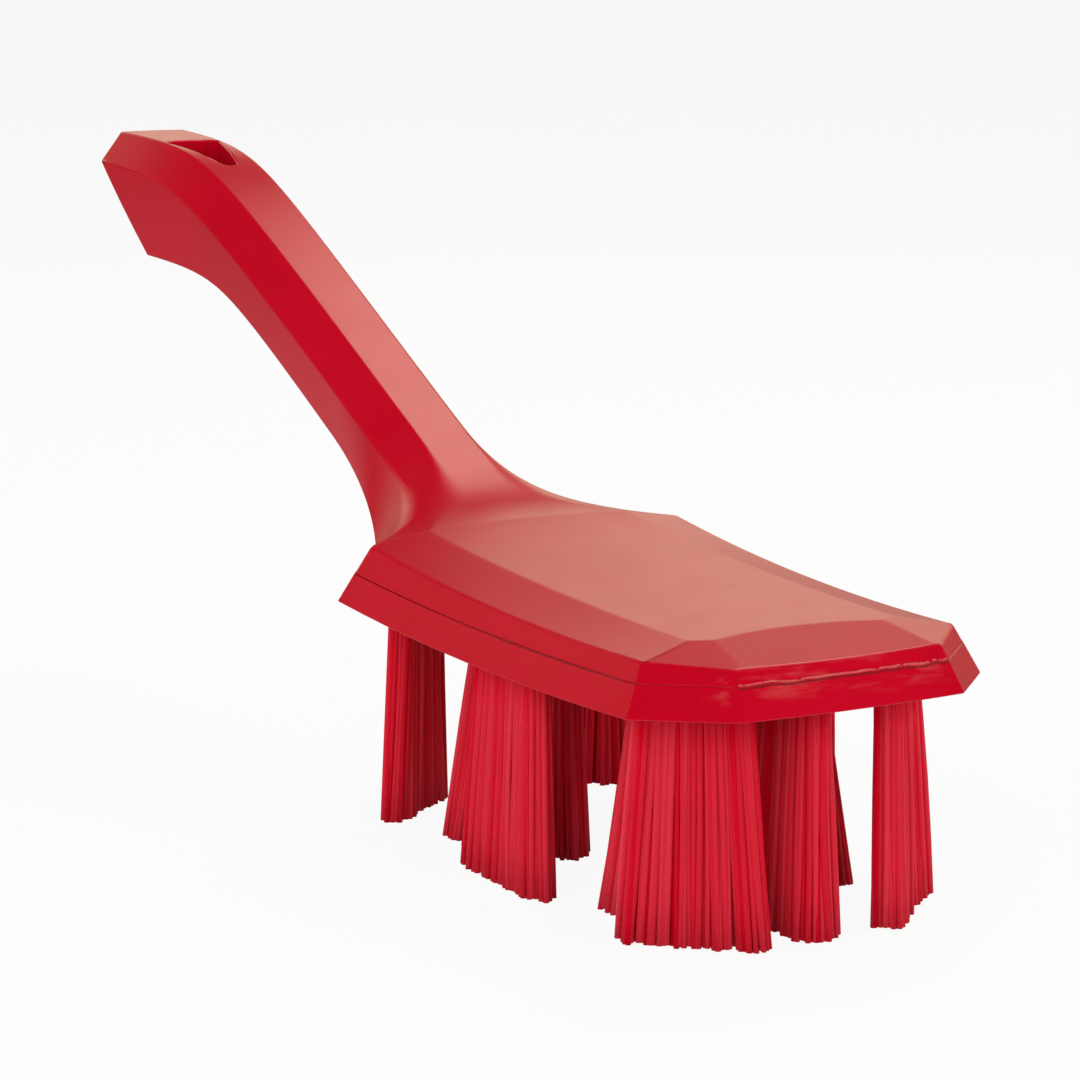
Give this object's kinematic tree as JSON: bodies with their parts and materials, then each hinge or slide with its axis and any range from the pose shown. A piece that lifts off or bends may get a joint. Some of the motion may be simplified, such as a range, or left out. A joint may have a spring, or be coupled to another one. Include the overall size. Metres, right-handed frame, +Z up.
{
  "type": "scrub brush",
  "caption": "Short-handled scrub brush: a faceted handle rises from a rockered block, with separate flared tufts of stiff bristle set round and inside the block's edge.",
  "frame": {"origin": "on the ground plane that the bristle tips stand on, under the middle of the bounding box", "axes": "+X from the handle's end towards the nose of the block, +Y to the left, +Z up"},
  "size_m": [0.2603, 0.0694, 0.1061],
  "materials": {
    "moulding": "satin, moulded",
    "bristle": "stiff filament",
    "anchor": "fused"
  },
  "bodies": {
    "root": {"handle_body": "moulding", "bristle_plate": "moulding", "tuft_front_centre": "bristle", "tuft_front_left": "bristle", "tuft_front_right": "bristle", "tuft_side_left": "bristle", "tuft_side_right": "bristle", "tuft_rear_left": "bristle", "tuft_rear_right": "bristle", "tuft_inner_front_left": "bristle", "tuft_inner_front_right": "bristle", "tuft_inner_rear_left": "bristle", "tuft_inner_rear_right": "bristle", "tuft_middle_left": "bristle", "tuft_middle_right": "bristle", "anchor_front_centre": "anchor", "anchor_front_left": "anchor", "anchor_front_right": "anchor", "anchor_side_left": "anchor", "anchor_side_right": "anchor", "anchor_rear_left": "anchor", "anchor_rear_right": "anchor", "anchor_inner_front_left": "anchor", "anchor_inner_front_right": "anchor", "anchor_inner_rear_left": "anchor", "anchor_inner_rear_right": "anchor", "anchor_middle_left": "anchor", "anchor_middle_right": "anchor"}
  },
  "joints": []
}
